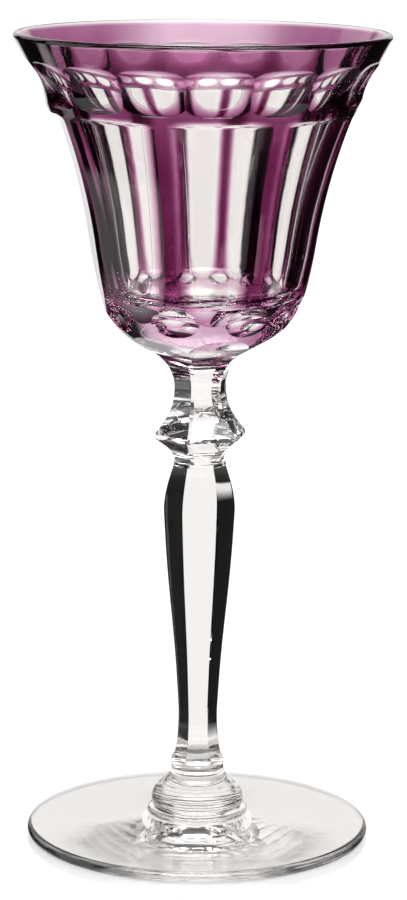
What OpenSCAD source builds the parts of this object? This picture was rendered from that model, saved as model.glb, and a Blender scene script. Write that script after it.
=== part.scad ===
// Hock wine glass of clear crystal with an amethyst casing over the bowl.
// The casing is cut through by a ring of olives, eight flutes and eight ovals.
// The bowl stands on a faceted knop and shaft, a turned button and a round foot.
// The foot rests on z = 0, and the front faces -Y.

/* [Foot] */
// Diameter of the foot
foot_d = 81; // [64:1:100]
// Thickness of the rounded edge of the foot
foot_edge_t = 2.6; // [2:0.1:4]
// Thickness of the foot under the button
foot_seat_t = 4.8; // [4:0.1:8]
// Radius of the hollow sweep over the top of the foot
foot_sweep_r = 280; // [150:10:600]
// Diameter of the ground hollow under the foot
foot_hollow_d = 50; // [30:1:60]
// Depth of the ground hollow under the foot
foot_hollow_depth = 0.8; // [0.4:0.1:1.5]

/* [Button] */
// Height of the button between foot and shaft
button_h = 11.5; // [9:0.5:16]
// Diameter of the thin flange that sits on the foot
flange_d = 23.8; // [20:0.2:30]
// Thickness of the flange
flange_t = 1.5; // [1:0.1:2]
// Diameter of the bulb above the flange
bulb_d = 21.8; // [18:0.2:26]
// Radius of the bulb's side
bulb_r = 4.2; // [3:0.1:5]
// Height of the bulb's widest ring above the foot
bulb_z = 3.5; // [3:0.1:5]
// Radius of the hollow between bulb and shaft
button_hollow_r = 4.4; // [3.5:0.1:6]

/* [Shaft] */
// Length of the shaft from button to waist
shaft_h = 73.1; // [50:0.5:110]
// Diameter of the round lower end of the shaft
shaft_foot_d = 12.4; // [10:0.1:14]
// Thinnest diameter of the shaft across its corners
shaft_thin_d = 9.1; // [8:0.1:11]
// Height of the thinnest place above the button
shaft_thin_z = 13.3; // [10:0.1:18]
// Thickest diameter of the shaft across its corners
shaft_thick_d = 16.7; // [13:0.1:20]
// Distance of the thickest place below the waist
shaft_thick_drop = 11.1; // [8:0.1:16]
// Length over which the facets run out into the round lower end
shaft_runout_h = 4.2; // [2:0.1:6]
// Turn of the shaft's front facet
shaft_turn = 2; // [-30:1:30]

/* [Knop] */
// Height of the knop from waist to neck
knop_h = 18.5; // [14:0.5:26]
// Diameter of the knop across its corners
knop_d = 22.2; // [18:0.2:28]
// Height of the knop's rim above the waist
knop_rim_z = 6.6; // [5:0.1:9]
// Thickness of the knop's rim
knop_rim_t = 1; // [0.5:0.1:2]
// Angle of the knop's underside at its rim
under_angle = 34; // [10:1:60]
// Angle of the knop's upper side at its rim
over_angle = 51; // [20:1:70]
// Diameter of the waist between knop and shaft, across its corners
waist_d = 12; // [9:0.1:14]
// Thickness of the round ring at the waist
waist_t = 0.8; // [0.4:0.1:1.5]
// Distance that the ring stands out past the corners
ring_lip = 0.2; // [0.1:0.1:0.6]
// Diameter of the neck between knop and bowl, across its corners
neck_d = 12.6; // [10:0.1:15]
// Turn of the knop's front facet
knop_turn = 18; // [-30:1:30]

/* [Bowl] */
// Height of the bowl from neck to rim
bowl_h = 82.1; // [70:0.1:100]
// Diameter of the rim
rim_d = 87; // [80:0.5:98]
// Diameter of the bowl at its belly, where the flare begins
belly_d = 54; // [48:0.5:60]
// Height of the belly above the neck
belly_z = 34.1; // [30:0.1:38]
// Radius of the flare
flare_r = 137; // [120:1:180]
// Radius of the side below the belly
side_r = 90; // [70:1:120]
// Height of the heel above the neck, where the base curve begins
heel_z = 23.1; // [21:0.1:26]
// Height above the neck of the base curve's lowest point, if it ran on under the bowl
base_low = 6.6; // [5:0.1:8]
// Radius of the hollow neck facets
neck_hollow_r = 10.2; // [9:0.1:12]
// Angle through which the neck facets are hollow before they run on straight under the bowl
neck_sweep = 61; // [60:1:68]

/* [Wall] */
// Thickness of the amethyst casing
casing_t = 0.6; // [0.4:0.05:1]
// Height above the neck of the seam between stem and bowl
seam_h = 9.6; // [9:0.1:10]
// Width of the flat polished rim
lip_t = 1.8; // [1.4:0.1:3]
// Thickness of the wall at the belly
wall_t = 4.2; // [3.6:0.1:5]
// Radius of the flare inside the bowl
inner_flare_r = 110; // [95:1:160]
// Radius of the side inside the bowl, below the belly
inner_side_r = 80; // [60:1:100]
// Angle that the side inside the bowl turns in before the corner
inner_turn = 6.6; // [4:0.1:9]
// Radius of the corner between the side and the floor inside the bowl
corner_r = 4; // [3:0.1:8]
// Lean at which the corner runs into the shallow floor
corner_lean = 80; // [70:1:84]

/* [Cuts] */
// Number of flutes, and of ovals between them
flute_count = 8; // [6:1:8]
// Angle that a flute spans
flute_span = 40.4; // [30:0.2:41]
// Height of the flutes' upper end above the neck
flute_top_z = 64; // [58:0.1:66]
// Height of the flutes' lower tip above the neck
flute_tip_z = 17.4; // [16:0.1:19]
// Radius of the rounded upper end of a flute
flute_end_r = 2; // [1:0.1:3]
// Number of olives in the ring under the rim
olive_count = 16; // [14:1:18]
// Height of the olives above the neck
olive_z = 71.1; // [70:0.1:73]
// Depth of an olive
olive_depth = 1.4; // [1.2:0.05:1.6]
// Radius of the rounded edge of the wheel that cuts the olives
olive_edge_r = 10.7; // [8:0.1:14]
// Height of the ovals above the neck
oval_z = 18; // [17:0.1:19]
// Depth of an oval
oval_depth = 0.9; // [0.7:0.05:1.1]
// Radius of the rounded edge of the wheel that cuts the ovals
oval_edge_r = 24; // [16:1:40]
// Turn of the front flute
cut_turn = 7; // [-22:0.5:22]
// Turn of the front olive
olive_turn = 5.5; // [-11:0.5:11]

/* [Hidden] */
$fa = 3;
$fs = 0.3;
casing_sides = 180;
sweep_sides = 720;
flare_sides = 240;
corner_steps = 5;
floor_steps = 3;
stem_sides = 6;
curve_steps = 10;
flare_steps = 7;
side_steps = 2;
base_steps = 5;
hollow_steps = 8;
neck_run = 12;
seat_margin = 0.6;
bulb_shoulder = 60;
shaft_sweep = 2.5;
shaft_swell = 0.15;
curve_pull = 0.45;
end_steps = 3;
cutter_reach = 30;
flute_overrun = 1;
crystal = [0.9, 0.92, 0.93, 0.45];
amethyst = [0.42, 0.14, 0.42, 0.8];

// Heights of the joints, from the foot up
button_z = foot_seat_t;
shaft_z = button_z + button_h;
waist_z = shaft_z + shaft_h;
neck_z = waist_z + knop_h;
rim_z = neck_z + bowl_h;

foot_r = foot_d / 2;
foot_edge_r = foot_edge_t / 2;
hollow_ball_r = (pow(foot_hollow_d / 2, 2) + pow(foot_hollow_depth, 2)) / (2 * foot_hollow_depth);
seat_r = flange_d / 2 + seat_margin;
facet_share = cos(180 / stem_sides);

// Centre of the circle of radius r through p and the higher point q, on the outer side
function arc_center(p, q, r) =
    let (d = q - p, l = norm(d))
    (p + q) / 2 + [d.y, -d.x] / l * sqrt(r * r - l * l / 4);

// Unit vector out of a wall that leans out by angle a from upright
function outward(a) = [cos(a), -sin(a)];

// Point at share t along the cubic curve with the four points of p
function curve(p, t) =
    pow(1 - t, 3) * p[0] + 3 * t * pow(1 - t, 2) * p[1] + 3 * t * t * (1 - t) * p[2] + pow(t, 3) * p[3];

// Points along a round stretch about c, between two leans, in n straight pieces,
// without the start unless first is 0
function bend(c, r, from, to, n, first = 1) =
    [for (i = [first : n]) c + r * outward(from + (to - from) * i / n)];

// The bowl's outer wall is three arcs that run into each other: flare, side and base
belly = [belly_d / 2, neck_z + belly_z];
flare_c = arc_center(belly, [rim_d / 2, rim_z], flare_r);
belly_lean = atan2(belly.y - flare_c.y, flare_c.x - belly.x);
side_c = belly - side_r * outward(belly_lean);
heel_lean = asin((side_c.y - neck_z - heel_z) / side_r);
base_r = (heel_z - base_low) / (1 - sin(heel_lean));
base_c = side_c + (side_r - base_r) * outward(heel_lean);
seam_z = neck_z + seam_h;

// Lean and radius of the bowl's outer wall on the flare and on the base curve, at height z
function flare_lean(z) = asin((z - flare_c.y) / flare_r);
function flare_at(z) = flare_c.x - flare_r * cos(flare_lean(z));
function base_lean(z) = asin((base_c.y - z) / base_r);
function base_at(z) = base_c.x + base_r * cos(base_lean(z));

// Outer wall of the bowl from rim to seam, set in by d
function bowl_wall(d) = concat(
    bend(flare_c, -flare_r - d, asin((rim_z - flare_c.y) / (flare_r + d)), belly_lean, flare_steps, 0),
    bend(side_c, side_r - d, belly_lean, heel_lean, side_steps),
    bend(base_c, base_r - d, heel_lean, asin((base_c.y - seam_z) / (base_r - d)), base_steps));

// The hollow of the bowl is a flare that runs into a side, a corner and a shallow round floor
inner_belly = belly - [wall_t, 0];
inner_c = arc_center(inner_belly, [rim_d / 2 - lip_t, rim_z], inner_flare_r);
inner_lean = atan2(inner_belly.y - inner_c.y, inner_c.x - inner_belly.x);
inner_side_c = inner_belly - inner_side_r * outward(inner_lean);
inner_heel_lean = inner_lean + inner_turn;
corner_c = inner_side_c + (inner_side_r - corner_r) * outward(inner_heel_lean);
corner_end = corner_c + corner_r * outward(corner_lean);
floor_r = corner_end.x / cos(corner_lean);
floor_c = [0, corner_end.y + corner_end.x * tan(corner_lean)];

// A flute's floor follows the flare, then runs out towards its tip below the belly
flute_share = cos(flute_span / 2);
flute_tip = neck_z + flute_tip_z;
flute_head_z = neck_z + flute_top_z - flute_end_r / 2;
flute_belly = [belly.x * flute_share, belly.y];
flute_head = [flare_at(flute_head_z) * flute_share, flute_head_z];
flute_flare_r = flare_r / flute_share;
flute_c = arc_center(flute_belly, flute_head, flute_flare_r);
flute_lean = atan2(flute_belly.y - flute_c.y, flute_c.x - flute_belly.x);
flute_head_lean = atan2(flute_head.y - flute_c.y, flute_c.x - flute_head.x);
flute_run = flute_belly - [base_at(flute_tip), flute_tip];
flute_run_lean = atan2(flute_run.x, flute_run.y);
flute_run_r = norm(flute_run) / (2 * sin(flute_run_lean - flute_lean));
flute_run_c = flute_belly - flute_run_r * outward(flute_lean);
flute_foot_lean = 2 * flute_run_lean - flute_lean + flute_overrun;

// Solid ring under the outline
module turned() {
    rotate_extrude()
        children();
}

// Faceted bar whose half profile is the list of points [corner radius, height]
module faceted(profile, turn) {
    half = [for (p = profile) [p.x * facet_share, p.y]];
    mirrored = [for (i = [len(half) - 1 : -1 : 0]) [-half[i].x, half[i].y]];
    intersection_for (i = [0 : stem_sides / 2 - 1])
        rotate([90, 0, 90 + turn + i * 360 / stem_sides])
            linear_extrude(rim_d, center = true)
                polygon(concat(half, mirrored));
}

module foot_outline() {
    edge_x = foot_r - foot_edge_r;
    difference() {
        union() {
            translate([edge_x, foot_edge_r])
                circle(foot_edge_r);
            polygon([[0, 0], [edge_x, 0], [edge_x, foot_edge_t], [seat_r, foot_seat_t], [0, foot_seat_t]]);
        }
        sweep_c = arc_center([edge_x, foot_edge_t], [seat_r, foot_seat_t], foot_sweep_r);
        translate(sweep_c)
            circle(foot_sweep_r, $fn = sweep_sides);
        translate([0, foot_hollow_depth - hollow_ball_r])
            circle(hollow_ball_r, $fn = sweep_sides);
    }
}

module foot() {
    color(crystal)
        turned()
            foot_outline();
}

module button_outline() {
    flange_x = (flange_d - flange_t) / 2;
    bulb_x = bulb_d / 2 - bulb_r;
    hollow_x = shaft_foot_d / 2 + button_hollow_r;
    square([flange_x, flange_t]);
    translate([flange_x, flange_t / 2])
        circle(flange_t / 2);
    intersection() {
        translate([0, flange_t / 2])
            square([bulb_d, bulb_z + bulb_r - flange_t / 2]);
        union() {
            translate([bulb_x, bulb_z])
                circle(bulb_r);
            square([bulb_x, bulb_z + bulb_r]);
        }
    }
    difference() {
        translate([0, bulb_z])
            square([hollow_x, button_h - bulb_z]);
        translate([hollow_x, button_h])
            circle(button_hollow_r);
        translate([bulb_x + bulb_r * cos(bulb_shoulder), 0])
            square([bulb_d, button_h - button_hollow_r]);
    }
}

module foot_button() {
    color(crystal)
        translate([0, 0, button_z])
            turned()
                button_outline();
}

// Corner radius of the shaft at height z over the button
function shaft_corner(z) =
    let (thick_z = shaft_h - shaft_thick_drop)
    z < shaft_thin_z
        ? shaft_thin_d / 2 + (shaft_foot_d - shaft_thin_d) / 2 * pow(1 - z / shaft_thin_z, shaft_sweep)
    : z < thick_z
        ? let (u = (z - shaft_thin_z) / (thick_z - shaft_thin_z))
          shaft_thin_d / 2 + (shaft_thick_d - shaft_thin_d) / 2 * (u - shaft_swell * sin(360 * u) / PI)
    : waist_d / 2 + (shaft_thick_d - waist_d) / 2 * sin(90 * (shaft_h - z) / shaft_thick_drop);

module stem_shaft() {
    thick_z = shaft_h - shaft_thick_drop;
    low = [for (i = [0 : curve_steps - 1]) i / curve_steps * shaft_thin_z];
    middle = [for (i = [0 : curve_steps - 1]) shaft_thin_z + i / curve_steps * (thick_z - shaft_thin_z)];
    high = [for (i = [0 : curve_steps]) thick_z + i / curve_steps * shaft_thick_drop];
    runout_flare = shaft_foot_d * (1 / facet_share - 1);
    profile = [for (z = concat(low, middle, high))
        [shaft_corner(z) + runout_flare * pow(max(0, 1 - z / shaft_runout_h), 2), z]];
    color(crystal)
        translate([0, 0, shaft_z])
            intersection() {
                faceted(profile, shaft_turn);
                union() {
                    cylinder(h = shaft_runout_h, d = shaft_foot_d);
                    translate([0, 0, shaft_runout_h])
                        cylinder(h = shaft_h - shaft_runout_h, d = shaft_thick_d / facet_share);
                }
            }
}

// Profile of a neck facet from the neck up, hollow and then straight, as [distance from the axis, height]
function neck_hollow(first) =
    let (a = neck_d / 2 * facet_share,
         hollow = bend([a + neck_hollow_r, neck_z], -neck_hollow_r, 0, neck_sweep, hollow_steps, first))
    concat(hollow, [hollow[len(hollow) - 1] + neck_run * [sin(neck_sweep), cos(neck_sweep)]]);

module stem_knop() {
    rim_top = knop_rim_z + knop_rim_t;
    rim_r = knop_d / 2;
    neck_r = neck_d / 2;
    waist_r = waist_d / 2;
    under_pull = curve_pull * (knop_rim_z - waist_t);
    over_pull = curve_pull * (knop_h - rim_top);
    under = [
        [waist_r, waist_t],
        [waist_r, waist_t + under_pull],
        [rim_r, knop_rim_z] - under_pull * [cos(under_angle), sin(under_angle)],
        [rim_r, knop_rim_z]];
    over = [
        [rim_r, rim_top],
        [rim_r, rim_top] + over_pull * [-cos(over_angle), sin(over_angle)],
        [neck_r, knop_h - over_pull],
        [neck_r, knop_h]];
    steps = [for (i = [0 : curve_steps]) i / curve_steps];
    knop = concat([for (t = steps) curve(under, t)], [for (t = steps) curve(over, t)]);
    neck = [for (p = neck_hollow(1)) [p.x / facet_share, p.y - waist_z]];
    color(crystal)
        translate([0, 0, waist_z]) {
            cylinder(h = waist_t, r = waist_r + ring_lip);
            intersection() {
                faceted(concat(knop, neck), knop_turn);
                cylinder(h = knop_h + seam_h, d = rim_d);
            }
        }
}

// Profile of the bowl inside its outer wall, set in by d
module bowl_outline(d) {
    polygon(concat([[0, rim_z]], bowl_wall(d), [[0, seam_z]]));
}

// Hollow of the bowl
module bowl_hollow() {
    difference() {
        translate([0, inner_belly.y])
            square([rim_d / 2, rim_z - inner_belly.y + lip_t]);
        translate(inner_c)
            circle(inner_flare_r, $fn = flare_sides);
    }
    polygon(concat([[0, inner_belly.y]],
        bend(inner_side_c, inner_side_r, inner_lean, inner_heel_lean, side_steps, 0),
        bend(corner_c, corner_r, inner_heel_lean, corner_lean, corner_steps),
        bend(floor_c, floor_r, corner_lean, 90, floor_steps)));
}

// One flute, flat across, with a rounded upper end
module flute() {
    end_c = flute_head + flute_end_r * outward(flute_head_lean);
    end = bend(end_c, -flute_end_r, flute_head_lean + 90, flute_head_lean, end_steps, 0);
    floor = bend(flute_c, -flute_flare_r, flute_head_lean, flute_lean, flare_steps);
    run = bend(flute_run_c, flute_run_r, flute_lean, flute_foot_lean, side_steps);
    low = run[side_steps - 1];
    outline = concat([end[0] + cutter_reach * outward(flute_head_lean)], end, floor, run,
        [low + [cutter_reach, 0]]);
    rotate([90, 0, -90])
        linear_extrude(rim_d / 2, center = true)
            polygon(outline);
}

// One wheel cut, flat across, into a wall that stands at [radius, height] and leans out
module wheel_cut(place, lean, depth, edge_r) {
    translate([0, -place.x, place.y])
        rotate([lean, 0, 0])
            translate([0, depth - edge_r, 0])
                rotate([0, 90, 0])
                    cylinder(h = rim_d / 2, r = edge_r, center = true);
}

module flutes() {
    for (i = [0 : flute_count - 1])
        rotate([0, 0, cut_turn + i * 360 / flute_count])
            flute();
}

module olives() {
    z = neck_z + olive_z;
    for (i = [0 : olive_count - 1])
        rotate([0, 0, olive_turn + i * 360 / olive_count])
            wheel_cut([flare_at(z), z], flare_lean(z), olive_depth, olive_edge_r);
}

module ovals() {
    z = neck_z + oval_z;
    for (i = [0 : flute_count - 1])
        rotate([0, 0, cut_turn + (i + 0.5) * 360 / flute_count])
            wheel_cut([base_at(z), z], base_lean(z), oval_depth, oval_edge_r);
}

// Hollow facets of the neck, carried up into the base of the bowl
module neck_facets() {
    hollow = neck_hollow(0);
    top = hollow[len(hollow) - 1].y;
    outline = concat(hollow, [[rim_d / 2, top], [rim_d / 2, neck_z]]);
    for (i = [0 : stem_sides - 1])
        rotate([90, 0, 90 + knop_turn + i * 360 / stem_sides])
            linear_extrude(rim_d / 2, center = true)
                polygon(outline);
}

module bowl_lining() {
    color(crystal)
        difference() {
            turned()
                difference() {
                    bowl_outline(casing_t);
                    bowl_hollow();
                }
            neck_facets();
            flutes();
            ovals();
            olives();
        }
}

// Uncut amethyst casing between two heights
module casing(low, high) {
    outside = bowl_wall(0);
    inside = bowl_wall(casing_t);
    turned($fn = casing_sides)
        intersection() {
            polygon(concat(outside, [for (i = [len(inside) - 1 : -1 : 0]) inside[i]]));
            translate([0, low])
                square([rim_d, high - low]);
        }
}

// Height at which the ring of olives parts the casing
casing_split_z = neck_z + olive_z;

module casing_rim_band() {
    color(amethyst)
        difference() {
            casing(casing_split_z, rim_z);
            olives();
        }
}

module casing_web() {
    color(amethyst)
        difference() {
            casing(seam_z, casing_split_z);
            neck_facets();
            flutes();
            ovals();
            olives();
        }
}

foot();
foot_button();
stem_shaft();
stem_knop();
bowl_lining();
casing_rim_band();
casing_web();
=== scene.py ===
import bpy
import math
import numpy as np
from mathutils import Matrix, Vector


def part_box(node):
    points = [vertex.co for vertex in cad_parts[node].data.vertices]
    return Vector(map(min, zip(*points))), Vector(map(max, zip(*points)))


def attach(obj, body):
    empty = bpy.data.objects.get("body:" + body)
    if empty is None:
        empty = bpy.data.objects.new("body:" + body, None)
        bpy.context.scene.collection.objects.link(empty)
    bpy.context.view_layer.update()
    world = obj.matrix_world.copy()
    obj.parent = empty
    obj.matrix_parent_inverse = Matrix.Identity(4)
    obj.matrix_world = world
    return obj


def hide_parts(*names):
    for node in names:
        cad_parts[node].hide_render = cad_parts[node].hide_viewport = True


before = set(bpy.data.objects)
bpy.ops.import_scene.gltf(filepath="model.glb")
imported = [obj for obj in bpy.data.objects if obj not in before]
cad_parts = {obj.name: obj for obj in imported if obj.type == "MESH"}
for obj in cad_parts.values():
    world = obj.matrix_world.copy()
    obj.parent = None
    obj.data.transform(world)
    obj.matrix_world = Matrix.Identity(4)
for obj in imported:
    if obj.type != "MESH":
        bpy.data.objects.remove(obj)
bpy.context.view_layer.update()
mm = 0.001                                              # sizes below are in mm, the scene is in metres
tiny, huge = 1e-9, 1e9
hexShare = math.cos(math.pi / 6)                        # flat to corner of a hexagon


def heightsOf(node):
    low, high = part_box(node)
    return low.z / mm, high.z / mm


footTop = heightsOf("foot")[1]
shaftLow, waistZ = heightsOf("stem_shaft")
seamZ = heightsOf("stem_knop")[1]
rimZ = heightsOf("bowl_lining")[1]
print("frame loaded, rim at", round(rimZ, 2), "mm")


# angles in degrees

def cosD(a):
    return math.cos(math.radians(a))


def sinD(a):
    return math.sin(math.radians(a))


def asinD(x):
    return math.degrees(math.asin(x))


def angleD(rise, run):
    return math.degrees(math.atan2(rise, run))


def outward(a):                                         # ray that leans a below level
    return np.array((cosD(a), -sinD(a)))


def around(r, a, z):                                    # points about the axis, a in radians from the front
    r, a, z = np.broadcast_arrays(r, a, z)
    return np.stack((r * np.sin(a), -r * np.cos(a), z), -1)


# round and straight stretches of a profile, in the plane of (radius, height)

endWeight = 4                                           # how much more a point past a stretch's end counts


def arcPiece(c, r, fromAngle, toAngle, side):           # side 1 has air outside the circle, -1 inside
    a, b = math.radians(fromAngle), math.radians(toAngle)
    return dict(kind="arc", c=np.array(c, float), r=r, a=a, b=b, side=side)


def linePiece(p, q):                                    # air lies on the left of p to q
    p, q = np.array(p, float), np.array(q, float)
    d = (q - p) / np.linalg.norm(q - p)
    return dict(kind="line", p=p, q=q, d=d, n=np.array((-d[1], d[0])))


def alongPiece(piece, count):                           # points and normals along a stretch
    t = np.linspace(0, 1, count + 1)
    if piece["kind"] == "line":
        pts = piece["p"] + t[:, None] * (piece["q"] - piece["p"])
        return pts, np.repeat(piece["n"][None], count + 1, 0)
    a = piece["a"] + (piece["b"] - piece["a"]) * t
    ray = np.stack((np.cos(a), np.sin(a)), -1)
    return piece["c"] + piece["r"] * ray, piece["side"] * ray


def joinPoints(stretches, counts):                      # one polyline through several stretches
    pts = [alongPiece(p, n)[0] for p, n in zip(stretches, counts)]
    return np.concatenate([pts[0]] + [p[1:] for p in pts[1:]])


def nearPiece(piece, pts):                              # distance into the air and past the end, normal
    if piece["kind"] == "line":
        rel = pts - piece["p"]
        along = rel @ piece["d"]
        out = np.maximum(0, np.maximum(-along, along - np.linalg.norm(piece["q"] - piece["p"])))
        return rel @ piece["n"], out, np.repeat(piece["n"][None], len(pts), 0)
    rel = pts - piece["c"]
    rho = np.maximum(np.hypot(rel[:, 0], rel[:, 1]), tiny)
    lo, hi = min(piece["a"], piece["b"]), max(piece["a"], piece["b"])
    turn = np.arctan2(rel[:, 1], rel[:, 0]) - (lo + hi) / 2
    turn = np.abs((turn + math.pi) % (2 * math.pi) - math.pi)
    out = np.maximum(0, turn - (hi - lo) / 2) * piece["r"]
    return piece["side"] * (rho - piece["r"]), out, piece["side"] * rel / rho[:, None]


def nearProfile(profile, pts):                          # distance and normal from the nearest stretch
    best = np.full(len(pts), huge)
    dist, normal = np.full(len(pts), -huge), np.zeros((len(pts), 2))
    for piece in profile:
        d, out, n = nearPiece(piece, pts)
        score = np.abs(d) + endWeight * out
        take = score < best
        best[take], dist[take], normal[take] = score[take], d[take], n[take]
    return dist, normal, best


def arcCenter(p, q, r):                                 # circle through p and the higher q, centre outside
    p, q = np.array(p, float), np.array(q, float)
    d = q - p
    l = np.linalg.norm(d)
    return (p + q) / 2 + np.array((d[1], -d[0])) / l * math.sqrt(r * r - l * l / 4)


def meetCircles(a, ra, b, rb):                          # upper point where two circles cross
    d = b - a
    l = np.linalg.norm(d)
    along = (l * l + ra * ra - rb * rb) / (2 * l)
    off = math.sqrt(ra * ra - along * along)
    pts = [a + d * along / l + k * off / l * np.array((-d[1], d[0])) for k in (-1, 1)]
    return max(pts, key=lambda p: p[1])


# meshes

glassSlot, fusedSlot = 0, 1                             # slots: surface in air, surface on another piece
weldPlaces = 4                                          # points alike to this many decimals of a mm are one


def meshFrom(name, verts, faces, normals=None, mats=None):
    mesh = bpy.data.meshes.new(name)
    mesh.from_pydata((np.asarray(verts) * mm).tolist(), [], faces)
    mesh.polygons.foreach_set("use_smooth", [True] * len(mesh.polygons))
    if mats is not None:
        mesh.polygons.foreach_set("material_index", mats)
    if normals is not None:
        mesh.normals_split_custom_set(normals.tolist())
    mesh.update()
    obj = bpy.data.objects.new(name, mesh)
    bpy.context.scene.collection.objects.link(obj)
    return obj


def weld(name, patches):                                # patches: grids of points and normals, and a slot
    verts, loops, loopNormals, mats = [], [], [], []
    base = 0
    for pts, nrm, slot in patches:
        m, n = pts.shape[:2]
        pts, nrm = pts.reshape(-1, 3), nrm.reshape(-1, 3)
        ids = np.arange(m * n).reshape(m, n)
        quads = np.stack((ids[:-1, :-1], ids[1:, :-1], ids[1:, 1:], ids[:-1, 1:]), -1).reshape(-1, 4)
        a, b, c, d = (pts[quads[:, i]] for i in range(4))
        facing = np.einsum("ij,ij->i", np.cross(c - a, d - b), nrm[quads[:, 0]])
        if facing.sum() < 0:
            quads = quads[:, ::-1]
        verts.append(pts)
        loops.append(base + quads)
        loopNormals.append(nrm[quads])
        mats += [slot] * len(quads)
        base += m * n
    verts, loops, loopNormals = (np.concatenate(x) for x in (verts, loops, loopNormals))
    keys, back = np.unique(np.round(verts, weldPlaces), axis=0, return_inverse=True)
    faces, normals, slots = [], [], []
    for quad, nrm, slot in zip(back.reshape(-1)[loops].tolist(), loopNormals, mats):
        keep = [i for i in range(4) if quad[i] != quad[i - 1]]
        ring = [quad[i] for i in keep]
        if len(ring) < 3 or len(set(ring)) < len(ring):
            continue                                    # nothing left of this face
        faces.append(ring)
        normals.append(nrm[keep])
        slots.append(slot)
    return meshFrom(name, keys, faces, np.concatenate(normals), slots)


def turnedPatch(profilePts, profileNormals, sides, slot):
    a = np.linspace(0, 2 * math.pi, sides + 1)
    a[-1] = 0                                           # closes exactly
    return (*(around(p[:, :1], a, p[:, 1:]) for p in (profilePts, profileNormals)), slot)


def turnedPiece(name, stretches, sides):                # stretches: (piece, steps along it, slot)
    return weld(name, [turnedPatch(*alongPiece(p, n), sides, slot) for p, n, slot in stretches])


# foot: a ground hollow underneath, a rounded edge and a long sweep up to the button

foot = dict(radius=40.5, edge=2.6, seat=12.5, sweep=280, hollow=38, hollowDepth=0.4, sides=256)


def makeFoot():
    f = foot
    edgeR = f["edge"] / 2
    edgeX = f["radius"] - edgeR
    sweepC = arcCenter((edgeX, f["edge"]), (f["seat"], footTop), f["sweep"])
    sweepFrom = angleD(f["edge"] - sweepC[1], edgeX - sweepC[0])
    sweepTo = angleD(footTop - sweepC[1], f["seat"] - sweepC[0])
    hollowR = (f["hollow"] ** 2 + f["hollowDepth"] ** 2) / (2 * f["hollowDepth"])
    hollowZ = f["hollowDepth"] - hollowR
    return turnedPiece("foot_crystal", [
        (arcPiece((0, hollowZ), hollowR, 90, asinD(-hollowZ / hollowR), -1), 24, glassSlot),
        (linePiece((edgeX, 0), (f["hollow"], 0)), 4, glassSlot),
        (arcPiece((edgeX, edgeR), edgeR, -90, 90, 1), 24, glassSlot),
        (arcPiece(sweepC, f["sweep"], sweepFrom, sweepTo, -1), 32, glassSlot),
        (linePiece((button["flange"], footTop), (f["seat"], footTop)), 2, glassSlot),
        (linePiece((0, footTop), (button["flange"], footTop)), 2, fusedSlot),
    ], f["sides"])


# button: a thin flange, a bulb, and a hollow up to the shaft

button = dict(flange=11.15, flangeT=1.5, bulb=10.9, bulbR=4.2, bulbZ=3.5,
              hollowR=4.4, hollowShare=0.5, sides=192)


def makeButton():
    b = button
    t = b["flangeT"] / 2
    bulbX, bulbZ = b["bulb"] - b["bulbR"], footTop + b["bulbZ"]
    dip = asinD((2 * t - b["bulbZ"]) / b["bulbR"])      # where the bulb leaves the flange
    waistX = bulbX + b["bulbR"] * cosD(dip)
    hollowX = shaft["foot"] + b["hollowR"]
    meet = hollowX - b["hollowR"] * b["hollowShare"]    # a small upright step parts bulb and hollow
    rise = math.sqrt(b["bulbR"] ** 2 - (meet - bulbX) ** 2)
    hollowA = math.degrees(math.acos(b["hollowShare"]))
    hollowZ = shaftLow - b["hollowR"] * sinD(hollowA)
    return turnedPiece("button_crystal", [
        (linePiece((b["flange"], footTop), (0, footTop)), 2, fusedSlot),
        (arcPiece((b["flange"], footTop + t), t, -90, 90, 1), 48, glassSlot),
        (linePiece((waistX, footTop + 2 * t), (b["flange"], footTop + 2 * t)), 2, glassSlot),
        (arcPiece((bulbX, bulbZ), b["bulbR"], dip, angleD(rise, meet - bulbX), 1), 96, glassSlot),
        (linePiece((meet, hollowZ), (meet, bulbZ + rise)), 2, glassSlot),
        (arcPiece((hollowX, shaftLow), b["hollowR"], 180 + hollowA, 180, -1), 64, glassSlot),
        (linePiece((0, shaftLow), (shaft["foot"], shaftLow)), 2, fusedSlot),
    ], b["sides"])


# six-sided pieces

across = 30                                             # steps across a facet


def facetPatch(r, phi, z, mid, out, up):                # flat across, so each row has one normal
    n = around(out, mid, up)
    n /= np.linalg.norm(n, axis=1)[:, None]
    return around(r, mid + phi, z[:, None]), np.repeat(n[:, None], across + 1, 1), glassSlot


def levelPatch(ring, inner, up, slot):                  # level strip between two rings
    return np.stack((ring, inner)), np.full((2, len(ring), 3), (0, 0, up), float), slot


def roundRing(r, z, turn):
    return around(r, math.radians(turn - 30) + np.linspace(0, 2 * math.pi, 6 * across + 1), z)


def hexRing(corner, z, turn):
    phi = np.arange(6 * across + 1) % across / across * math.pi / 3 - math.pi / 6
    return roundRing(corner * hexShare / np.cos(phi), z, turn)


# shaft: radii to the corners, heights above the button, facets run out into a round lower end

shaft = dict(foot=6.2, thin=4.55, thinZ=13.3, thick=8.35, thickDrop=11.1, sweep=2.5, swell=0.15,
             runout=4.2, turn=2, rows=220, roundSteps=8)


def shaftCorner(h):
    s = shaft
    length = waistZ - shaftLow
    thickZ = length - s["thickDrop"]
    low = s["thin"] + (s["foot"] - s["thin"]) * np.clip(1 - h / s["thinZ"], 0, 1) ** s["sweep"]
    u = (h - s["thinZ"]) / (thickZ - s["thinZ"])
    middle = s["thin"] + (s["thick"] - s["thin"]) * (u - s["swell"] * np.sin(2 * math.pi * u) / math.pi)
    bend = np.sin(np.clip((length - h) / s["thickDrop"], 0, 1) * math.pi / 2)
    high = knop["waist"] + (s["thick"] - knop["waist"]) * bend
    return np.where(h < s["thinZ"], low, np.where(h < thickZ, middle, high))


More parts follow.
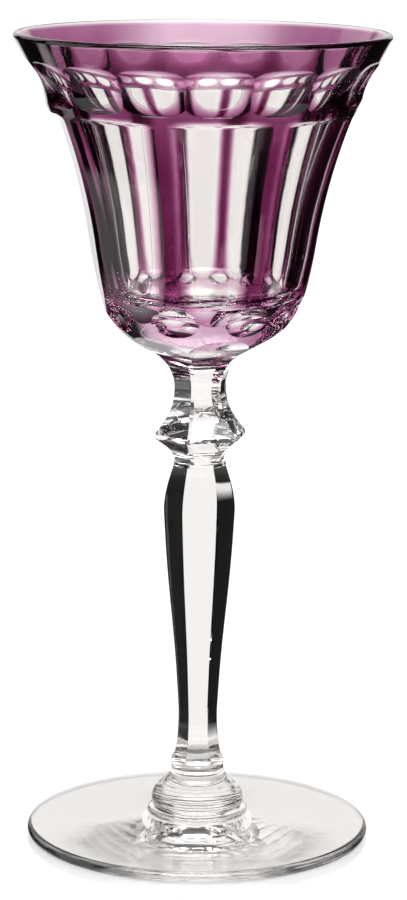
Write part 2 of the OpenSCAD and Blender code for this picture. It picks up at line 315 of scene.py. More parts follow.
def makeShaft():
    s = shaft
    h = np.linspace(0, waistZ - shaftLow, s["rows"])
    corner = shaftCorner(h)
    flare = 2 * s["foot"] * (1 / hexShare - 1)          # lifts the facets out of the round end
    apothem = (corner + flare * np.clip(1 - h / s["runout"], 0, 1) ** 2) * hexShare
    sharp = (corner > s["foot"] - tiny) & (h >= s["runout"])
    roundAt = np.where(sharp, 3 * s["thick"], s["foot"])    # out of reach where the corners stay sharp
    half = np.minimum(math.pi / 6, np.arccos(np.clip(apothem / roundAt, -1, 1)))[:, None]
    phi = half * np.linspace(-1, 1, across + 1)
    flatR = np.minimum(apothem[:, None] / np.cos(phi), roundAt[:, None])
    beside = half + (math.pi / 3 - 2 * half) * np.linspace(0, 1, s["roundSteps"] + 1)
    roundR = np.where(half >= math.pi / 6 - tiny, apothem[:, None] / hexShare, roundAt[:, None])
    z, slope = shaftLow + h, np.gradient(apothem, h)
    patches = []
    for k in range(6):
        mid = math.radians(s["turn"] + 60 * k)
        patches.append(facetPatch(flatR, phi, z, mid, np.ones_like(h), -slope))
        patches.append((around(roundR, mid + beside, z[:, None]), around(1, mid + beside, 0), glassSlot))
    rows = np.concatenate([pts[:, :-1] for pts, nrm, slot in patches], 1)
    for row, up in ((rows[0], -1), (rows[-1], 1)):      # level ends, fused to the neighbours
        ring = np.concatenate((row, row[:1]))
        patches.append(levelPatch(ring, ring * (0, 0, 1), up, fusedSlot))
    return weld("shaft_crystal", patches)


# knop with the ring at its waist, and the hollow neck facets that run on up the bowl

knop = dict(waist=6.0, ring=6.2, ringT=0.8, rim=11.1, rimZ=6.6, rimT=1.0, neck=6.3, height=18.5,
            under=34, over=51, pull=0.45, underSteps=28, overSteps=36, turn=18)
neck = dict(hollow=10.2, sweep=61, run=12, steps=32, runSteps=4, reach=30, width=14)


def curvePoints(p, n):
    t = np.linspace(0, 1, n + 1)[:, None]
    p = np.array(p, float)
    return (1 - t) ** 3 * p[0] + 3 * t * (1 - t) ** 2 * p[1] + 3 * t * t * (1 - t) * p[2] + t ** 3 * p[3]


def makeKnop():
    k = knop
    top = k["rimZ"] + k["rimT"]
    lowPull, highPull = k["pull"] * (k["rimZ"] - k["ringT"]), k["pull"] * (k["height"] - top)
    under = curvePoints([(k["waist"], k["ringT"]), (k["waist"], k["ringT"] + lowPull),
                         (k["rim"] - lowPull * cosD(k["under"]), k["rimZ"] - lowPull * sinD(k["under"])),
                         (k["rim"], k["rimZ"])], k["underSteps"])
    over = curvePoints([(k["rim"], top),
                        (k["rim"] - highPull * cosD(k["over"]), top + highPull * sinD(k["over"])),
                        (k["neck"], k["height"] - highPull), (k["neck"], k["height"])], k["overSteps"])
    sweep = math.radians(neck["sweep"])
    a = np.linspace(0, sweep, neck["steps"] + 1)
    hollow = np.stack((k["neck"] + neck["hollow"] * (1 - np.cos(a)) / hexShare,
                       k["height"] + neck["hollow"] * np.sin(a)), -1)
    rise = np.linspace(0, seamZ - waistZ - hollow[-1, 1], neck["runSteps"] + 1)[1:]
    straight = hollow[-1] + np.stack((rise * math.tan(sweep) / hexShare, rise), -1)
    rim = np.stack((under[-1], over[0]))
    patches = []
    phi = np.linspace(-1, 1, across + 1)[None] * math.pi / 6
    for part in (under, rim, np.concatenate((over, hollow[1:], straight))):
        d = np.gradient(part, axis=0)
        d /= np.linalg.norm(d, axis=1)[:, None]
        r = part[:, :1] * hexShare / np.cos(phi)
        for i in range(6):
            mid = math.radians(k["turn"] + 60 * i)
            patches.append(facetPatch(r, phi, waistZ + part[:, 1], mid, d[:, 1], -d[:, 0] * hexShare))
    ringZ = waistZ + k["ringT"]
    end = hexRing(straight[-1, 0], seamZ, k["turn"])
    seat = hexRing(k["waist"], ringZ, k["turn"])
    rest = hexRing(k["waist"], waistZ, shaft["turn"])
    wall = np.stack([roundRing(k["ring"], z, k["turn"]) for z in (waistZ, ringZ)])
    patches += [levelPatch(end, end * (0, 0, 1), 1, fusedSlot),
                levelPatch(seat, roundRing(k["ring"], ringZ, k["turn"]), 1, glassSlot),
                levelPatch(rest, roundRing(k["ring"], waistZ, shaft["turn"]), -1, glassSlot),
                levelPatch(rest, rest * (0, 0, 1), -1, fusedSlot),
                (wall, wall * (1, 1, 0) / k["ring"], glassSlot)]
    return weld("knop_crystal", patches)


# bowl: flare, side and base arcs outside, the same inside with a tight corner above the floor

bowl = dict(rim=44.05, belly=27.0, bellyUp=34.1, flare=137, side=90, heelUp=23.1, base=22.5,
            casing=1.0, gap=0.02, lip=1.8, wall=4.2,
            innerFlare=114, innerSide=80, innerHeel=15.5, corner=4, cornerEnd=80,
            wallSteps=(90, 16, 40), hollowSteps=(90, 24, 32, 16), lipSteps=16, edgeSteps=12,
            lipTries=80, sides=384)

neckZ = waistZ + knop["height"]
bellyAt = np.array((bowl["belly"], neckZ + bowl["bellyUp"]))
flareC = arcCenter(bellyAt, (bowl["rim"], rimZ), bowl["flare"])
bellyLean = angleD(bellyAt[1] - flareC[1], flareC[0] - bellyAt[0])
sideC = bellyAt - bowl["side"] * outward(bellyLean)
heelLean = asinD((sideC[1] - neckZ - bowl["heelUp"]) / bowl["side"])
baseC = sideC + (bowl["side"] - bowl["base"]) * outward(heelLean)

innerBelly = bellyAt - (bowl["wall"], 0)
innerC = arcCenter(innerBelly, (bowl["rim"] - bowl["lip"], rimZ), bowl["innerFlare"])
innerLean = angleD(innerBelly[1] - innerC[1], innerC[0] - innerBelly[0])
innerSideC = innerBelly - bowl["innerSide"] * outward(innerLean)
cornerC = innerSideC + (bowl["innerSide"] - bowl["corner"]) * outward(bowl["innerHeel"])
cornerLow = cornerC + bowl["corner"] * outward(bowl["cornerEnd"])
floorR = cornerLow[0] / cosD(bowl["cornerEnd"])
floorZ = cornerLow[1] + cornerLow[0] * math.tan(math.radians(bowl["cornerEnd"]))
print("floor of the bowl at", round(floorZ - floorR, 2))

lipC = np.array((bowl["rim"], rimZ)) - bowl["lip"] / 2
for step in range(bowl["lipTries"]):                    # settles the lip, a round that touches both sides
    near = np.linalg.norm(lipC - flareC) - bowl["flare"]
    far = bowl["innerFlare"] - np.linalg.norm(lipC - innerC)
    lipR = (near + far) / 2
    lipC = np.array((lipC[0] + (near - far) / 2, rimZ - lipR))
print("lip radius", round(lipR, 3), "reaches", round(lipC[0] + lipR, 3))


def lipAngle(p):
    return angleD(p[1] - lipC[1], p[0] - lipC[0])


def flareLean(z):
    return asinD((z - flareC[1]) / bowl["flare"])


def flareAt(z):
    return flareC[0] - bowl["flare"] * cosD(flareLean(z))


def baseLean(z):
    return asinD((baseC[1] - z) / bowl["base"])


def baseAt(z):
    return baseC[0] + bowl["base"] * cosD(baseLean(z))


def wallProfile(d, top, low):                           # outer wall set in by d
    r = bowl["flare"] + d
    up = asinD((top - flareC[1]) / r)
    if low > bellyAt[1]:
        return [arcPiece(flareC, r, 180 - up, 180 - asinD((low - flareC[1]) / r), -1)]
    down = asinD((baseC[1] - low) / (bowl["base"] - d))
    return [arcPiece(flareC, r, 180 - up, 180 - bellyLean, -1),
            arcPiece(sideC, bowl["side"] - d, -bellyLean, -heelLean, 1),
            arcPiece(baseC, bowl["base"] - d, -heelLean, -down, 1)]


def hollowProfile(top):
    up = asinD((top - innerC[1]) / bowl["innerFlare"])
    return [arcPiece(innerC, bowl["innerFlare"], 180 - up, 180 - innerLean, 1),
            arcPiece(innerSideC, bowl["innerSide"], -innerLean, -bowl["innerHeel"], -1),
            arcPiece(cornerC, bowl["corner"], -bowl["innerHeel"], -bowl["cornerEnd"], -1),
            arcPiece((0, floorZ), floorR, -bowl["cornerEnd"], -90, -1)]


def ringMesh(name, profile, sides):                     # closed outline turned to a solid, before cutting
    a = np.linspace(0, 2 * math.pi, sides, endpoint=False)
    verts, ids = [], []
    for r, z in profile:
        if r < tiny:
            ids.append([len(verts)])
            verts.append((0, 0, z))
        else:
            ids.append(list(range(len(verts), len(verts) + sides)))
            verts += around(r, a, z).tolist()
    faces = []
    for low, high in zip(ids, ids[1:] + ids[:1]):
        if len(low) == 1 and len(high) == 1:
            continue
        for i in range(sides):
            j = (i + 1) % sides
            if len(low) == 1:
                faces.append((high[i], high[j], low[0]))
            elif len(high) == 1:
                faces.append((high[0], low[j], low[i]))
            else:
                faces.append((high[i], high[j], low[j], low[i]))
    return meshFrom(name, verts, faces)


# cuts: flutes, a ring of olives above them, ovals between their tips, and the neck facets

flute = dict(count=8, span=40.4, topUp=64, tipUp=17.4, endRound=2.0, overrun=3, clear=8, width=13.5, turn=7,
             steps=(1, 10, 48, 24))
olive = dict(count=16, up=71.1, depth=1.5, wheel=70, tall=5.9, deep=1.9, sweep=88, reach=9.5, turn=5.5)
oval = dict(count=8, up=18.0, depth=1.5, wheel=20, tall=10, deep=10, sweep=44, reach=8,
            turn=flute["turn"] + 180 / flute["count"])
wheelSteps, wheelBack = (40, 56), 7.0                   # grid of a wheel's face, depth of its body
sideways = np.array((1, 0, 0))

fluteShare = cosD(flute["span"] / 2)
tipZ = neckZ + flute["tipUp"]
headZ = neckZ + flute["topUp"] - flute["endRound"] / 2
fluteBelly = bellyAt * (fluteShare, 1)
fluteHead = np.array((flareAt(headZ) * fluteShare, headZ))
fluteR = bowl["flare"] / fluteShare
fluteC = arcCenter(fluteBelly, fluteHead, fluteR)
fluteLean = angleD(fluteBelly[1] - fluteC[1], fluteC[0] - fluteBelly[0])
headLean = angleD(fluteHead[1] - fluteC[1], fluteC[0] - fluteHead[0])
run = fluteBelly - (baseAt(tipZ), tipZ)                 # from the belly down to the tip
runLean = angleD(run[0], run[1])
runR = np.linalg.norm(run) / (2 * sinD(runLean - fluteLean))
runC = fluteBelly - runR * outward(fluteLean)
endC = fluteHead + flute["endRound"] * outward(headLean)
endTop = endC + flute["endRound"] * np.array((sinD(headLean), cosD(headLean)))
fluteFloor = [linePiece(endTop + flute["clear"] * outward(headLean), endTop),
              arcPiece(endC, flute["endRound"], 90 - headLean, 180 - headLean, -1),
              arcPiece(fluteC, fluteR, 180 - headLean, 180 - fluteLean, -1),
              arcPiece(runC, runR, -fluteLean, -(2 * runLean - fluteLean + flute["overrun"]), 1)]

neckC = np.array((knop["neck"] * hexShare + neck["hollow"], neckZ))
neckEnd = neckC - neck["hollow"] * outward(neck["sweep"])
neckTop = neckEnd - neck["run"] * outward(neck["sweep"] + 90)
neckFloor = [linePiece(neckTop, neckEnd), arcPiece(neckC, neck["hollow"], 180 - neck["sweep"], 180, -1)]

oliveZ, ovalZ = neckZ + olive["up"], neckZ + oval["up"]
olivePlace, ovalPlace = (flareAt(oliveZ), oliveZ), (baseAt(ovalZ), ovalZ)
oliveLean, ovalLean = flareLean(oliveZ), baseLean(ovalZ)


def spin(pts, a):                                       # turn about the axis
    c, s = cosD(a), sinD(a)
    return pts @ np.array(((c, s, 0), (-s, c, 0), (0, 0, 1)))


def barCutter(name, outline, width, turns):             # outline of (radius, height) pushed to both sides
    n = len(outline)
    verts, faces = [], []
    for t in turns:
        base = len(verts)
        for x in (-width, width):
            verts += spin(np.stack((np.full(n, x), -outline[:, 0], outline[:, 1]), -1), t).tolist()
        faces.append(tuple(base + i for i in range(n)))
        faces.append(tuple(base + n + i for i in reversed(range(n))))
        for i in range(n):
            j = (i + 1) % n
            faces.append((base + j, base + i, base + n + i, base + n + j))
    return meshFrom(name, verts, faces)


def wheelFrame(place, lean):                            # where the wheel bites, outward, up along the wall
    n = np.array((0, -cosD(lean), -sinD(lean)))
    t = np.array((0, -sinD(lean), cosD(lean)))
    return np.array((0, -place[0], place[1])), n, t


def wheelCutter(name, cut, place, lean, turns):         # stretch of a wheel with a rounded edge
    origin, n, t = wheelFrame(place, lean)
    bite = math.asin(cut["reach"] / cut["wheel"])
    a = np.linspace(-bite, bite, wheelSteps[0] + 1)[:, None]
    psi = np.radians(np.linspace(-cut["sweep"], cut["sweep"], wheelSteps[1] + 1))[None]
    rho = cut["wheel"] - cut["deep"] + cut["deep"] * np.cos(psi)
    side, back = rho * np.sin(a), cut["wheel"] - cut["depth"] - rho * np.cos(a)
    up = cut["tall"] * np.sin(psi) + 0 * a
    front = origin + side[..., None] * sideways + back[..., None] * n + up[..., None] * t
    rear = front + (wheelBack - back)[..., None] * n
    m, k = front.shape[:2]
    verts, faces = [], []
    for turn in turns:
        ids = len(verts) + np.arange(m * k).reshape(m, k)
        verts += spin(np.concatenate((front.reshape(-1, 3), rear.reshape(-1, 3))), turn).tolist()
        quads = np.stack((ids[:-1, :-1], ids[:-1, 1:], ids[1:, 1:], ids[1:, :-1]), -1).reshape(-1, 4)
        faces += [tuple(q) for q in quads.tolist()]
        faces += [tuple(q[::-1]) for q in (quads + m * k).tolist()]
        rim = np.concatenate((ids[0, :-1], ids[:-1, -1], ids[-1, :0:-1], ids[:0:-1, 0]))
        for i, j in zip(rim.tolist(), np.roll(rim, -1).tolist()):
            faces.append((j, i, i + m * k, j + m * k))
    return meshFrom(name, verts, faces)


def turnsOf(cut, first=0, skip=1):
    return [cut["turn"] + 360 / cut["count"] * i for i in range(first, cut["count"], skip)]


def makeCutters():
    fluteLine = joinPoints(fluteFloor, flute["steps"])
    fluteLine = np.concatenate((fluteLine, [fluteLine[-1] + (flute["clear"], 0)]))
    neckLine = np.concatenate(([(neck["reach"], neckZ), (neck["reach"], neckTop[1])],
                               joinPoints(neckFloor, (2 * neck["runSteps"], neck["steps"]))))
    made = []
    for odd in (0, 1):                                  # neighbours overlap, so they go in two meshes
        made.append(barCutter("fluteCut", fluteLine, flute["width"], turnsOf(flute, odd, 2)))
    for odd in (0, 1):
        made.append(wheelCutter("oliveCut", olive, olivePlace, oliveLean, turnsOf(olive, odd, 2)))
    made.append(wheelCutter("ovalCut", oval, ovalPlace, ovalLean, turnsOf(oval)))
    for i in range(6):
        made.append(barCutter("neckCut", neckLine, neck["width"], [knop["turn"] + 60 * i]))
    return made


def cutAway(obj, cutters):
    for c in cutters:
        mod = obj.modifiers.new("cut", "BOOLEAN")
        mod.object, mod.operation, mod.solver = c, "DIFFERENCE", "MANIFOLD"
    bpy.context.view_layer.update()
    made = bpy.data.meshes.new_from_object(obj.evaluated_get(bpy.context.evaluated_depsgraph_get()))
    obj.modifiers.clear()
    obj.data = made
    print(obj.name, "cut to", len(made.polygons), "faces")


def largest(obj):                                       # drops slivers left at the corners of the neck
    bpy.ops.object.select_all(action="DESELECT")
    obj.select_set(True)
    bpy.context.view_layer.objects.active = obj
    bpy.ops.mesh.separate(type="LOOSE")
    parts = sorted(bpy.context.selected_objects, key=lambda o: -len(o.data.polygons))
    print(obj.name, "islands", [len(o.data.polygons) for o in parts])
    name = obj.name
    for crumb in parts[1:]:
        bpy.data.objects.remove(crumb)
    parts[0].name = parts[0].data.name = name
    return parts[0]


# fields: distance into the air, normal and closeness for each kind of surface, so that cut faces shade true

leanWeight = 0.4                                        # mm off that a face square to a surface counts as


def turnedField(profile):
    def field(p):
        r = np.maximum(np.hypot(p[:, 0], p[:, 1]), tiny)
        d, n, score = nearProfile(profile, np.stack((r, p[:, 2]), -1))
        return d, np.stack((n[:, 0] * p[:, 0] / r, n[:, 0] * p[:, 1] / r, n[:, 1]), -1), score
    return field


def nearestTurn(p, first, count):
    a = np.degrees(np.arctan2(p[:, 0], -p[:, 1]))
    return np.radians(first + np.round((a - first) / (360 / count)) * 360 / count)


def barField(profile, first, count):
    def field(p):
        a = nearestTurn(p, first, count)
        u = p[:, 0] * np.sin(a) - p[:, 1] * np.cos(a)
        d, n, score = nearProfile(profile, np.stack((u, p[:, 2]), -1))
        return d, around(n[:, 0], a, n[:, 1]), score
    return field


def wheelField(cut, place, lean):
    origin, n, t = wheelFrame(place, lean)

    def field(p):
        a = nearestTurn(p, cut["turn"], cut["count"])
        c, s = np.cos(a), np.sin(a)
        q = np.stack((p[:, 0] * c + p[:, 1] * s, -p[:, 0] * s + p[:, 1] * c, p[:, 2]), -1) - origin
        out, up, side = q @ n, q @ t, q[:, 0]
        axis = cut["wheel"] - cut["depth"]
        rho = np.hypot(out - axis, side)
        tube = rho - (cut["wheel"] - cut["deep"])
        e = np.maximum(np.hypot(tube / cut["deep"], up / cut["tall"]), tiny)
        gTube, gUp = tube / cut["deep"] ** 2, up / cut["tall"] ** 2
        g = np.maximum(np.hypot(gTube, gUp), tiny)
        d = (1 - e) * e / g
        nUp, nOut, nSide = -gUp / g, -gTube / g * (out - axis) / rho, -gTube / g * side / rho
        x, y, z = (nOut[:, None] * n + nUp[:, None] * t + nSide[:, None] * sideways).T
        return d, np.stack((x * c - y * s, x * s + y * c, z), -1), np.abs(d)
    return field


def planeField(z, up):
    def field(p):
        d = up * (p[:, 2] - z)
        return d, np.repeat(np.array([[0, 0, up]], float), len(p), 0), np.abs(d)
    return field


def fetch(items, name, width, kind=float):
    values = np.empty(len(items) * width, kind)
    items.foreach_get(name, values)
    return values.reshape(-1, width) if width > 1 else values


def dress(obj, fields):                                 # fields: (field, slot); the nearest gets each face
    mesh = obj.data
    faceCount = len(mesh.polygons)
    co = fetch(mesh.vertices, "co", 3) / mm
    loopVert = fetch(mesh.loops, "vertex_index", 1, int)
    total = fetch(mesh.polygons, "loop_total", 1, int)
    faceNormal = fetch(mesh.polygons, "normal", 3)
    loopFace = np.repeat(np.arange(faceCount), total)
    sums = [np.bincount(loopFace, co[loopVert, i], faceCount) for i in range(3)]
    center = np.stack(sums, -1) / total[:, None]
    best, owner = np.full(faceCount, huge), np.zeros(faceCount, int)
    for i, (field, slot) in enumerate(fields):
        normal, score = field(center)[1:]
        score = score + leanWeight * (1 - np.einsum("ij,ij->i", normal, faceNormal))
        take = score < best
        best[take], owner[take] = score[take], i
    normals = np.zeros((len(loopVert), 3))
    for i, (field, slot) in enumerate(fields):
        loops = owner[loopFace] == i
        if loops.any():
            normals[loops] = field(co[loopVert[loops]])[1]
    mesh.polygons.foreach_set("use_smooth", [True] * faceCount)
    slots = np.array([slot for field, slot in fields], np.int32)
    mesh.polygons.foreach_set("material_index", slots[owner])
    mesh.normals_split_custom_set(normals.tolist())
    mesh.update()
    print(obj.name, "dressed, worst fit", round(float(best.max()), 3))
    return co


# the amethyst thins out towards base and rim, and beside flutes, olives, ovals and neck facets

film = dict(up=(11.5, 13.1, 18.1, 21.1, 25.1, 31.1, 57.1, 64.1, 76.1, 80.7, 81.5),      # above the neck
            share=(0, 0.22, 0.28, 0.55, 1.0, 1.4, 1.4, 1.1, 0.74, 0.64, 0),
            fade=(1.6, 0.7, 1.0, 1.0))


def makeCasing(name, inside, edge, outside, ends, cutters, cuts):
    steps, edgeSteps = bowl["wallSteps"], (bowl["edgeSteps"],)
    outline = [joinPoints(inside, steps)[::-1], *(joinPoints([e], edgeSteps)[1:-1] for e in edge),
               joinPoints(outside, steps)]
    casing = ringMesh(name, np.concatenate(outline), bowl["sides"])
    cutAway(casing, cutters)
    casing = largest(casing)
    back = [dict(p, side=-p["side"]) for p in inside]
    co = dress(casing, [(turnedField(back), fusedSlot), (turnedField(outside + edge), glassSlot),
                        (planeField(ends[0], 1), fusedSlot), (planeField(ends[1], -1), fusedSlot)]
               + [(cut, glassSlot) for cut in cuts])
    left = np.ones(len(co))
    for cut, fade in zip(cuts, film["fade"]):
        left = np.minimum(left, np.clip(-cut(co)[0] / bowl["casing"], 0, 1) ** fade)
    thick = casing.data.attributes.new("thick", "FLOAT", "POINT")
    thick.data.foreach_set("value", left * np.interp(co[:, 2] - neckZ, film["up"], film["share"]))
    return casing


def makeBowl():
    b = bowl
    cutters = makeCutters()
    cuts = [barField(fluteFloor, flute["turn"], flute["count"]), wheelField(olive, olivePlace, oliveLean),
            wheelField(oval, ovalPlace, ovalLean), barField(neckFloor, knop["turn"], 6)]

    d = b["casing"]
    inner = innerC + (lipC - innerC) * b["innerFlare"] / np.linalg.norm(lipC - innerC)
    split = meetCircles(flareC, b["flare"] + d, lipC, lipR)
    wall, hollow = wallProfile(d, split[1], seamZ), hollowProfile(inner[1])
    lip = arcPiece(lipC, lipR, lipAngle(inner), lipAngle(split), 1)
    outline = np.concatenate((joinPoints(wall, b["wallSteps"]), [(0, seamZ)],
                              joinPoints(hollow, b["hollowSteps"])[::-1],
                              joinPoints([lip], (b["lipSteps"],))[1:-1]))
    lining = ringMesh("bowl_crystal", outline, b["sides"])
    cutAway(lining, cutters)
    dress(lining, [(turnedField(wall), fusedSlot), (turnedField(hollow + [lip]), glassSlot),
                   (planeField(seamZ, -1), fusedSlot)] + [(cut, glassSlot) for cut in cuts])

    d -= b["gap"]                                       # the casing stands just off the lining
    split = meetCircles(flareC, b["flare"] + d, lipC, lipR)
    outer = flareC + (lipC - flareC) * b["flare"] / np.linalg.norm(lipC - flareC)
    edge = arcPiece(lipC, lipR, lipAngle(split), lipAngle(outer), 1)
    rimBand = makeCasing("rim_band_amethyst", wallProfile(d, split[1], oliveZ), [edge],
                         wallProfile(0, outer[1], oliveZ), (rimZ, oliveZ), cutters, cuts)
    web = makeCasing("web_amethyst", wallProfile(d, oliveZ, seamZ), [],
                     wallProfile(0, oliveZ, seamZ), (oliveZ, seamZ), cutters, cuts)
    for c in cutters:
        bpy.data.objects.remove(c)
    return lining, rimBand, web


bowlLining, rimBand, web = makeBowl()
footPiece, buttonPiece, shaftPiece, knopPiece = makeFoot(), makeButton(), makeShaft(), makeKnop()
print("foot, button, shaft and knop made")


# nodes

noiseSpan, noiseDetail = (0.3, 0.7), 2                  # where most of a noise texture's values lie


def newMaterial(name, kind):                            # one shader on the surface
    mat = bpy.data.materials.new(name)
    mat.use_nodes = True
    tree = mat.node_tree
    tree.nodes.clear()
    shader = tree.nodes.new("ShaderNode" + kind)
    tree.links.new(shader.outputs[0], tree.nodes.new("ShaderNodeOutputMaterial").inputs["Surface"])
    return mat, tree, shader


def calc(tree, operation, *values):                     # one sum, of numbers and sockets
    node = tree.nodes.new("ShaderNodeMath")
    node.operation = operation
    for socket, value in zip(node.inputs, values):
        if isinstance(value, (int, float)):
            socket.default_value = value
        else:
            tree.links.new(value, socket)
    return node.outputs[0]


def ramp(tree, value, low, high, first, last, kind="SMOOTHSTEP"):
    node = tree.nodes.new("ShaderNodeMapRange")
    node.interpolation_type = kind
    tree.links.new(value, node.inputs["Value"])
    for name, number in zip(("From Min", "From Max", "To Min", "To Max"), (low, high, first, last)):
        node.inputs[name].default_value = number
    return node.outputs[0]


def softNoise(tree, scale, low, high):                  # wanders between two values over the piece
    coord, noise = tree.nodes.new("ShaderNodeTexCoord"), tree.nodes.new("ShaderNodeTexNoise")
    noise.inputs["Scale"].default_value, noise.inputs["Detail"].default_value = scale, noiseDetail
    tree.links.new(coord.outputs["Object"], noise.inputs["Vector"])
    return ramp(tree, noise.outputs[0], *noiseSpan, low, high, "LINEAR")


# crystal and amethyst

crystal = dict(ior=1.54, tints=((0.992, 0.967, 0.952), (0.986, 0.963, 0.948)), tintScale=30,
               rough=(0, 0.006), roughScale=180, ripple=0.02, rippleScale=90)
amethyst = dict(color=(0.26, 0.056, 0.165), uneven=(0.93, 1.07), cloudScale=140)


def clearCrystal():
    mat, tree, glass = newMaterial("clearCrystal", "BsdfPrincipled")
    links = tree.links
    tint = tree.nodes.new("ShaderNodeMix")
    tint.data_type = "RGBA"
    links.new(softNoise(tree, crystal["tintScale"], 0, 1), tint.inputs["Factor"])
    for name, color in zip(("A", "B"), crystal["tints"]):
        next(i for i in tint.inputs if i.name == name and i.type == "RGBA").default_value = (*color, 1)
    links.new(next(o for o in tint.outputs if o.type == "RGBA"), glass.inputs["Base Color"])
    ripple = tree.nodes.new("ShaderNodeBump")           # hand polish
    ripple.inputs["Strength"].default_value = 1
    ripple.inputs["Distance"].default_value = crystal["ripple"] * mm
    links.new(softNoise(tree, crystal["rippleScale"], 0, 1), ripple.inputs["Height"])
    links.new(ripple.outputs[0], glass.inputs["Normal"])
    links.new(softNoise(tree, crystal["roughScale"], *crystal["rough"]), glass.inputs["Roughness"])
    glass.inputs["Transmission Weight"].default_value = 1
    glass.inputs["IOR"].default_value = crystal["ior"]
    return mat


def fusedCrystal():                                     # light goes straight on from piece to piece
    return newMaterial("fusedCrystal", "BsdfTransparent")[0]


def amethystFilm():                                     # colour to the power of its thickness
    mat, tree, clear = newMaterial("amethystFilm", "BsdfTransparent")
    thick = tree.nodes.new("ShaderNodeAttribute")
    thick.attribute_name = "thick"
    cloud = softNoise(tree, amethyst["cloudScale"], *amethyst["uneven"])
    depth = calc(tree, "MULTIPLY", thick.outputs["Fac"], cloud)
    rgb = tree.nodes.new("ShaderNodeCombineColor")
    for i, c in enumerate(amethyst["color"]):
        tree.links.new(calc(tree, "POWER", c, depth), rgb.inputs[i])
    tree.links.new(rgb.outputs[0], clear.inputs["Color"])
    return mat


glassMat, fusedMat, filmMat = clearCrystal(), fusedCrystal(), amethystFilm()
for piece, node, second, slot in (
        (footPiece, "foot", fusedMat, "clear_crystal"),
        (buttonPiece, "foot_button", fusedMat, "clear_crystal"),
        (shaftPiece, "stem_shaft", fusedMat, "clear_crystal"),
        (knopPiece, "stem_knop", fusedMat, "clear_crystal"),
        (bowlLining, "bowl_lining", fusedMat, "clear_crystal"),
        (rimBand, "casing_rim_band", filmMat, "amethyst"),
        (web, "casing_web", filmMat, "amethyst")):
    slots = piece.data.materials
    for i, mat in enumerate((glassMat, second)):        # cutting may leave empty slots behind
        if i < len(slots):
            slots[i] = mat
        else:
            slots.append(mat)
    while len(slots) > 2:
        slots.pop()
    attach(piece, "root")
    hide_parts(node)
print("pieces made")


# table: white, in two parts, so that the glass sees only the part under the foot

table = dict(radius=6000, under=(13, 41.2), gap=0.05, sides=96, color=(1, 1, 1), ior=1.7,
             rough=(0.07, 0.1), roughScale=60, glow=0.2)


def makeTable():
    t, n = table, table["sides"]
    a = np.linspace(0, 2 * math.pi, n, endpoint=False)
    rings = [around(r, a, -t["gap"]) for r in (*t["under"], t["radius"])]
    strips = [(i, n + i, n + (i + 1) % n, (i + 1) % n) for i in range(n)]
    under = meshFrom("tableUnderFoot", np.concatenate(rings[:2]), strips)
    rest = meshFrom("table", np.concatenate(rings[1:] + rings[:1]), strips + [tuple(range(2 * n, 3 * n))])
    mat, tree, white = newMaterial("paleTable", "BsdfPrincipled")
    white.inputs["Base Color"].default_value = (*t["color"], 1)
    white.inputs["IOR"].default_value = t["ior"]
    tree.links.new(softNoise(tree, t["roughScale"], *t["rough"]), white.inputs["Roughness"])
    rays = tree.nodes.new("ShaderNodeLightPath")
    seen = calc(tree, "MAXIMUM", rays.outputs["Is Camera Ray"], rays.outputs["Is Transmission Ray"])
    tree.links.new(calc(tree, "MULTIPLY", seen, t["glow"]), white.inputs["Emission Strength"])
    white.inputs["Emission Color"].default_value = (1, 1, 1, 1)
    for part in (under, rest):
        part.data.materials.append(mat)
    rest.visible_transmission = rest.visible_glossy = False


# studio: plain white for the camera and soft light, bright windows and dark gaps for glass and gloss
# angles are degrees up, and degrees around from +Y
# windows stand behind the glass only as seen from about 0, 45, 90 and 225, it looks dark from elsewhere

studio = dict(dark=0.012, low=0.25, lowUp=(-65, -30), ceiling=0.1, ceilingUp=(28, 40),
              lamp=8.0, lampFrom=(38, 48), lampTo=(66, 76), lampAway=(85, 150), sill=2, head=10)
windows = [dict(mid=-1.5, half=16.5, soft=2.5, low=-90, high=30),   # behind the glass in the camera's view
           dict(mid=0, half=25, soft=4, low=2, high=30),
           dict(mid=135, half=18, soft=3, low=-28, high=30),         # and behind it from 225, 90 and 45
           dict(mid=-90, half=18, soft=3, low=-28, high=30),
           dict(mid=-51, half=7, soft=2, low=-30, high=-28),
           dict(mid=-45, half=14, soft=3, low=10, high=34)]


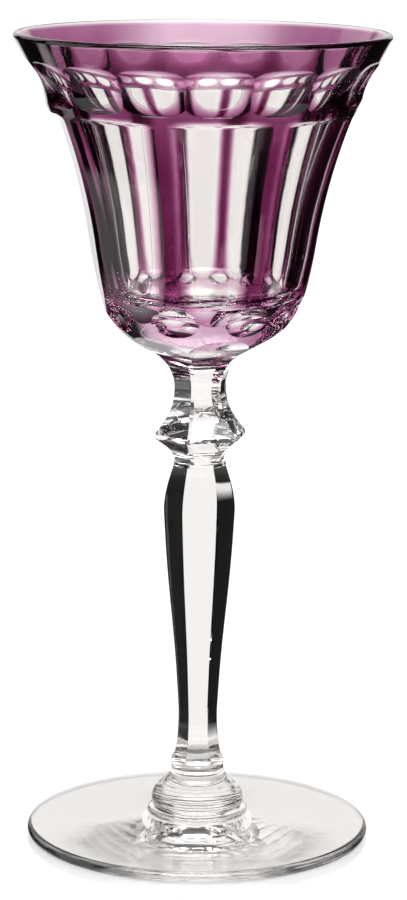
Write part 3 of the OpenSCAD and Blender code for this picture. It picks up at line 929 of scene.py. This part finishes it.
def makeStudio():
    s = studio
    world = bpy.data.worlds.new("studio")
    bpy.context.scene.world = world
    world.use_nodes = True
    world.cycles.sampling_method = "NONE"
    tree = world.node_tree
    tree.nodes.clear()
    coord = tree.nodes.new("ShaderNodeTexCoord")
    split = tree.nodes.new("ShaderNodeSeparateXYZ")
    tree.links.new(coord.outputs["Generated"], split.inputs[0])
    bearing = calc(tree, "DEGREES", calc(tree, "ARCTAN2", split.outputs["X"], split.outputs["Y"]))
    up = calc(tree, "DEGREES", calc(tree, "ARCSINE", split.outputs["Z"]))

    ground = ramp(tree, up, *s["lowUp"], s["low"], s["dark"])
    light = calc(tree, "MAXIMUM", ground, ramp(tree, up, *s["ceilingUp"], 0, s["ceiling"]))
    strip = calc(tree, "MULTIPLY", ramp(tree, up, *s["lampFrom"], 0, 1), ramp(tree, up, *s["lampTo"], 1, 0))
    away = ramp(tree, calc(tree, "ABSOLUTE", bearing), *s["lampAway"], s["ceiling"], s["lamp"])
    light = calc(tree, "MAXIMUM", light, calc(tree, "MULTIPLY", strip, away))
    for w in windows:
        off = calc(tree, "ABSOLUTE", calc(tree, "SUBTRACT", bearing, w["mid"]))
        wide = ramp(tree, off, w["half"] - w["soft"], w["half"] + w["soft"], 1, 0)
        tall = calc(tree, "MULTIPLY", ramp(tree, up, w["low"] - s["sill"], w["low"], 0, 1),
                    ramp(tree, up, w["high"], w["high"] + s["head"], 1, 0))
        light = calc(tree, "MAXIMUM", light, calc(tree, "MULTIPLY", wide, tall))

    path = tree.nodes.new("ShaderNodeLightPath")
    bounced = calc(tree, "MINIMUM", path.outputs["Diffuse Depth"], 1)
    plain = calc(tree, "MAXIMUM", path.outputs["Is Camera Ray"], bounced)
    strength = calc(tree, "ADD", plain, calc(tree, "MULTIPLY", calc(tree, "SUBTRACT", 1, plain), light))
    back = tree.nodes.new("ShaderNodeBackground")
    back.inputs["Color"].default_value = (1, 1, 1, 1)
    tree.links.new(strength, back.inputs["Strength"])
    tree.links.new(back.outputs[0], tree.nodes.new("ShaderNodeOutputWorld").inputs["Surface"])


# camera: the photographed view, a little above the rim

camera = dict(side=0.86, back=752.5, up=243.9, pitch=11.363, roll=0.46, lens=131.19, sensor=36)


def makeCamera():
    c = camera
    data = bpy.data.cameras.new("camera")
    data.lens, data.sensor_width = c["lens"], c["sensor"]
    obj = bpy.data.objects.new("camera", data)
    bpy.context.scene.collection.objects.link(obj)
    obj.matrix_world = (Matrix.Translation((c["side"] * mm, -c["back"] * mm, c["up"] * mm))
                        @ Matrix.Rotation(math.radians(90 - c["pitch"]), 4, "X")
                        @ Matrix.Rotation(math.radians(c["roll"]), 4, "Z"))
    bpy.context.scene.camera = obj


makeTable()
makeStudio()
makeCamera()
scene = bpy.context.scene
scene.view_settings.view_transform = "Standard"
scene.cycles.max_bounces = 32                           # thick cut glass needs many
scene.cycles.transmission_bounces = 32
scene.cycles.glossy_bounces = 16
scene.cycles.transparent_max_bounces = 64
print("stage and camera set")
